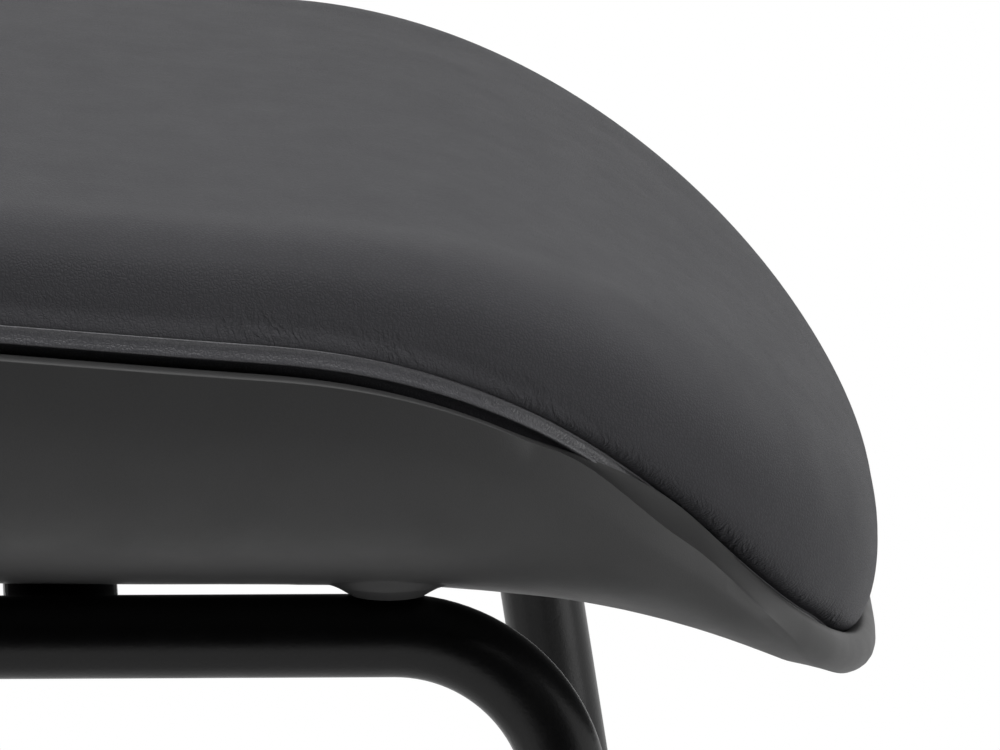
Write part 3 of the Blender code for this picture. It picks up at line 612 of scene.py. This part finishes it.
def underPoint(angle, scale):  # on the outer face, which runs straight out to the bead round the front
    lipY = rimPoint(angle, 0.0)[1]
    rimX, rimY = rimPoint(angle, beadDraw(lipY, scale))
    share, last = basinShare(scale), basinShare(shell["straightFrom"])
    if scale > shell["straightFrom"]:
        straight = mix(last, 1.0, (scale - shell["straightFrom"]) / (1 - shell["straightFrom"]))
        share = mix(share, straight, beadShare(lipY))
    y = rimY * scale
    return Vector((rimX * scale, y, bellyHeight + belly(y) + (lipFoot(lipY) - belly(rimY)) * share))


def softMin(a, b, blend):
    share = min(max(0.5 + (b - a) / (2 * blend), 0.0), 1.0)
    return b + (a - b) * share - blend * share * (1 - share)


def bossHeight(radius):  # of its flat foot, its flare and its wall
    foot = seat["tubeTop"] + boss["gap"]
    if radius < boss["foot"]:
        return foot
    if radius < boss["radius"]:
        return foot + boss["flare"] * (radius - boss["foot"]) / (boss["radius"] - boss["foot"])
    return foot + boss["flare"] + (radius - boss["radius"]) * boss["steep"]


def bossRings(bossX, bossY):  # the foot grows out of the underside, and the lid lies inside the wall
    def underside(x, y):
        return bellyHeight + basin(x, y, 0.0, 0.0, lipFoot)

    under, over = [[Vector((bossX, bossY, seat["tubeTop"] + boss["gap"]))]], []
    for radius in (0.004, 0.0075, 0.0094, 0.0100, 0.0106, 0.012, 0.0135, 0.0148, 0.0155, 0.016, 0.0165, 0.017, 0.0176,
                   0.0184, 0.0194, 0.0206, 0.022, 0.024, 0.027, 0.030, boss["reach"]):
        low, high = [], []
        lift = boss["sinks"] * smooth(radius, boss["sinksFrom"], boss["reach"]) - boss["proud"]
        for step in range(boss["around"]):
            turn = 2 * pi * step / boss["around"]
            x, y = bossX + radius * cos(turn), bossY + radius * sin(turn)
            plain = underside(x, y)
            low.append(Vector((x, y, softMin(plain, bossHeight(radius), boss["blend"]) + lift)))
            high.append(Vector((x, y, plain + seat["wall"] / 2)))
        under.append(low)
        over.append(high)
    return under + over[::-1] + [[Vector((bossX, bossY, underside(bossX, bossY) + seat["wall"] / 2))]]


scales = [0.12, 0.24, 0.36, 0.46, 0.55, 0.62, 0.68, 0.73, 0.78, 0.82, 0.855, 0.885, 0.91, 0.93, 0.95,
          shell["straightFrom"], 0.98, 0.99, 0.996, 0.9985, 1.0]
shellRings = [[Vector((0.0, 0.0, bellyHeight))]]
for scale in scales:
    shellRings.append([underPoint(a, scale) for a in angles])
for turn in (3, 7, 12, 20, 29, 38, 47, 56, 64, 72, 79, 85, 90):
    shellRings.append([facePoint(a, radians(turn)) for a in angles])
for turn in (6, 14, 25, 40, 57, 74, 90):
    shellRings.append([crownPoint(a, radians(turn)) for a in angles])
for scale in scales[::-1]:
    shellRings.append([basinPoint(a, scale, seat["lip"], seat["wall"], innerEdge) for a in angles])
shellRings.append([Vector((0.0, 0.0, bellyHeight + belly(0.0) + seat["wall"]))])
bm = bmesh.new()
skin(bm, shellRings)
for side in (-1, 1):
    for end in (-1, 1):
        skin(bm, bossRings(side * seat["bossX"], end * seat["bossY"]))
shellPiece = meshPiece("shell_moulding", bm, shellPlastic, shell["sharp"])
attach(shellPiece, "root")
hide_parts("seat_shell")
print("shell made")


# tube frame: bent side frames and the footrest ring, swept along their centre lines by one node tree

tubes = {"radius": 0.011, "spread": 0.135, "height": 0.630, "halfRun": 0.087, "bend": 0.0456, "rake": radians(8.8),
         "splay": radians(5.0), "footHeight": 0.009, "sides": 56, "bendSteps": 24,
         "restHeight": 0.290, "restRadius": 0.007, "restSides": 40}


def framePoint(side, y, down):  # in a side frame's leaning plane
    x = side * (tubes["spread"] + down * sin(tubes["splay"]))
    return Vector((x, y, tubes["height"] - down * cos(tubes["splay"])))


def legPoint(side, end, height):
    down = (tubes["height"] - height) / cos(tubes["splay"])
    angle = pi / 2 - tubes["rake"]
    below = down - tubes["bend"] * (1 - cos(angle))
    return framePoint(side, end * (tubes["halfRun"] + tubes["bend"] * sin(angle) + below * tan(tubes["rake"])), down)


def framePath(side):
    halves = []
    for end in (-1, 1):
        path = []
        for step in range(tubes["bendSteps"] + 1):
            turn = (pi / 2 - tubes["rake"]) * step / tubes["bendSteps"]
            path.append(framePoint(side, end * (tubes["halfRun"] + tubes["bend"] * sin(turn)),
                                   tubes["bend"] * (1 - cos(turn))))
        for height in (0.45, 0.30, 0.15, tubes["footHeight"]):
            path.append(legPoint(side, end, height))
        halves.append(path)
    return halves[0][::-1] + halves[1]


def sweepTree():  # a mesh line in, a round bar out
    tree = bpy.data.node_groups.new("round_bar", "GeometryNodeTree")
    tree.interface.new_socket("Geometry", in_out="INPUT", socket_type="NodeSocketGeometry")
    radius = tree.interface.new_socket("Radius", in_out="INPUT", socket_type="NodeSocketFloat")
    sides = tree.interface.new_socket("Sides", in_out="INPUT", socket_type="NodeSocketInt")
    finish = tree.interface.new_socket("Finish", in_out="INPUT", socket_type="NodeSocketMaterial")
    tree.interface.new_socket("Geometry", in_out="OUTPUT", socket_type="NodeSocketGeometry")
    start = tree.nodes.new("NodeGroupInput")
    line = tree.nodes.new("GeometryNodeMeshToCurve")
    circle = tree.nodes.new("GeometryNodeCurvePrimitiveCircle")
    sweep = tree.nodes.new("GeometryNodeCurveToMesh")
    sweep.inputs["Fill Caps"].default_value = True
    soft = tree.nodes.new("GeometryNodeSetShadeSmooth")
    real = tree.nodes.new("GeometryNodeRealizeInstances")
    paint = tree.nodes.new("GeometryNodeSetMaterial")
    end = tree.nodes.new("NodeGroupOutput")
    links = tree.links
    links.new(start.outputs["Geometry"], line.inputs["Mesh"])
    links.new(start.outputs["Radius"], circle.inputs["Radius"])
    links.new(start.outputs["Sides"], circle.inputs["Resolution"])
    links.new(line.outputs["Curve"], sweep.inputs["Curve"])
    links.new(circle.outputs["Curve"], sweep.inputs["Profile Curve"])
    links.new(sweep.outputs["Mesh"], soft.inputs["Geometry"])
    links.new(soft.outputs["Geometry"], real.inputs["Geometry"])
    links.new(real.outputs["Geometry"], paint.inputs["Geometry"])
    links.new(start.outputs["Finish"], paint.inputs["Material"])
    links.new(paint.outputs["Geometry"], end.inputs["Geometry"])
    return tree, {"radius": radius.identifier, "sides": sides.identifier, "finish": finish.identifier}


roundBar, roundBarInputs = sweepTree()


def sweptBar(name, path, radius, sides, material):
    mesh = bpy.data.meshes.new(name + "_line")
    mesh.from_pydata([tuple(p) for p in path], [(k, k + 1) for k in range(len(path) - 1)], [])
    guide = bpy.data.objects.new(name + "_line", mesh)
    scene.collection.objects.link(guide)
    sweep = guide.modifiers.new("sweep", "NODES")
    sweep.node_group = roundBar
    sweep[roundBarInputs["radius"]] = radius
    sweep[roundBarInputs["sides"]] = sides
    sweep[roundBarInputs["finish"]] = material
    bpy.context.view_layer.update()
    made = bpy.data.meshes.new_from_object(guide.evaluated_get(bpy.context.evaluated_depsgraph_get()))
    bpy.data.objects.remove(guide, do_unlink=True)
    made.name = name
    made.set_sharp_from_angle(angle=radians(50))
    piece = bpy.data.objects.new(name, made)
    scene.collection.objects.link(piece)
    return piece


for sideName, side in (("left", -1), ("right", 1)):
    tube = sweptBar("frame_tube_" + sideName, framePath(side), tubes["radius"], tubes["sides"], framePaint)
    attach(tube, "root")
    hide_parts("side_frame_" + sideName)
restSpans = {"front": ((-1, -1), (1, -1)), "rear": ((-1, 1), (1, 1)),
             "left": ((-1, -1), (-1, 1)), "right": ((1, -1), (1, 1))}
for name, corners in restSpans.items():
    ends = [legPoint(*corner, tubes["restHeight"]) for corner in corners]
    bar = sweptBar("footrest_bar_" + name, ends, tubes["restRadius"], tubes["restSides"], framePaint)
    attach(bar, "root")
    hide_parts("footrest_" + name)
print("frame made")


# finishes of the solids that stay as they are
finishes = {"cross_bar": framePaint, "inner_pan": panPlastic, "glide_plug": glideNylon, "glide_pad": glideRubber,
            "rivet_nut": darkSteel, "frame_screw": darkSteel, "screw_washer": darkSteel}
for nodeName, solid in nodes.items():
    for start, finish in finishes.items():
        if nodeName.startswith(start):
            solid.data.materials.clear()
            solid.data.materials.append(finish)


# stage: pale floor that runs to white, soft lamps, camera

stage = {
    "floor": 6.0, "floorColour": (0.80, 0.80, 0.80), "glow": 0.290, "world": 0.080,
    "whiteFrom": 0.35, "whiteTo": 1.3, "whiteLeast": 0.45,
    "top": {"place": (-0.55, -0.1, 1.75), "aim": (0.0, -0.05, 0.7), "size": (1.2, 1.2), "power": 10.3},
    "low": {"place": (-0.75, -1.7, 0.40), "aim": (0.0, -0.15, 0.66), "size": (1.2, 0.5), "power": 4.8},
    "flag": {"x": -1.8, "halfWidth": 3.0, "foot": 0.002, "height": 3.0},
}


def lightPathShare(tree):  # 1 for rays from the camera, from gloss and through glass
    path = tree.nodes.new("ShaderNodeLightPath")
    seen = sums(tree, "MAXIMUM", path.outputs["Is Camera Ray"], path.outputs["Is Glossy Ray"])
    return sums(tree, "MAXIMUM", seen, path.outputs["Is Transmission Ray"])


floorMaterial, tree, shader = blankMaterial("pale_floor")
shader.inputs["Base Color"].default_value = (*stage["floorColour"], 1.0)
shader.inputs["Roughness"].default_value = 0.9
shader.inputs["Specular IOR Level"].default_value = 0.1
shader.inputs["Emission Color"].default_value = (1.0, 1.0, 1.0, 1.0)
shader.inputs["Emission Strength"].default_value = stage["glow"]
white = addNode(tree, "ShaderNodeEmission", {"Color": (1.0, 1.0, 1.0, 1.0), "Strength": 1.0})
away = addNode(tree, "ShaderNodeVectorMath", operation="LENGTH")
tree.links.new(objectPlace(tree), away.inputs[0])
far = remap(tree, away.outputs["Value"], stage["whiteFrom"], stage["whiteTo"], stage["whiteLeast"], 1.0)
blend = tree.nodes.new("ShaderNodeMixShader")
tree.links.new(sums(tree, "MULTIPLY", far, lightPathShare(tree)), blend.inputs[0])
tree.links.new(shader.outputs[0], blend.inputs[1])
tree.links.new(white.outputs[0], blend.inputs[2])
tree.links.new(blend.outputs[0], tree.nodes["Material Output"].inputs["Surface"])
bm = bmesh.new()
bmesh.ops.create_circle(bm, cap_ends=True, segments=96, radius=stage["floor"])
floor = meshPiece("floor", bm, floorMaterial)

world = bpy.data.worlds.new("studio")
scene.world = world
world.use_nodes = True
tree = world.node_tree
ambient = tree.nodes["Background"]
ambient.inputs["Color"].default_value = (1.0, 1.0, 1.0, 1.0)
tree.links.new(remap(tree, lightPathShare(tree), 0.0, 1.0, stage["world"], 1.0), ambient.inputs["Strength"])


def softLamp(name, place, aim, size, power):
    data = bpy.data.lights.new(name, "AREA")
    data.shape = "RECTANGLE"
    data.size, data.size_y = size
    data.energy = power
    lamp = bpy.data.objects.new(name, data)
    scene.collection.objects.link(lamp)
    lamp.location = place
    lamp.rotation_euler = (Vector(aim) - Vector(place)).to_track_quat("-Z", "Y").to_euler()


softLamp("top_softbox", **stage["top"])
softLamp("low_softbox", **stage["low"])

flagBlack, tree, shader = blankMaterial("flag_cloth")
shader.inputs["Base Color"].default_value = (0.02, 0.02, 0.02, 1.0)
shader.inputs["Specular IOR Level"].default_value = 0.0
bm = bmesh.new()
card = stage["flag"]
bm.faces.new([bm.verts.new((card["x"], side * card["halfWidth"], height)) for side, height in (
    (-1, card["foot"]), (1, card["foot"]), (1, card["height"]), (-1, card["height"]))])
flag = meshPiece("dark_flag", bm, flagBlack)  # the dark side of the room, on the camera's side
flag.visible_camera = False

view = {"elevation": radians(10.75), "yaw": radians(1.4), "lens": 1250.0, "sensor": 36.0, "distance": 9.26,
        "right": 0.1180, "up": 0.6625, "near": 0.100}
tilt, yaw = view["elevation"], view["yaw"]
rightWay = Vector((-sin(yaw), -cos(yaw), 0.0))
upWay = Vector((cos(yaw) * sin(tilt), -sin(yaw) * sin(tilt), cos(tilt)))
backWay = Vector((-cos(yaw) * cos(tilt), sin(yaw) * cos(tilt), sin(tilt)))
cameraData = bpy.data.cameras.new("camera")
cameraData.lens = view["lens"]
cameraData.sensor_width = view["sensor"]
camera = bpy.data.objects.new("camera", cameraData)
scene.collection.objects.link(camera)
target = rightWay * view["right"] + upWay * view["up"] + backWay * view["near"]
turnTo = Matrix((rightWay, upWay, backWay)).transposed().to_4x4()
camera.matrix_world = Matrix.Translation(target + backWay * view["distance"]) @ turnTo
scene.camera = camera
scene.view_settings.view_transform = "Standard"
print("stage made")
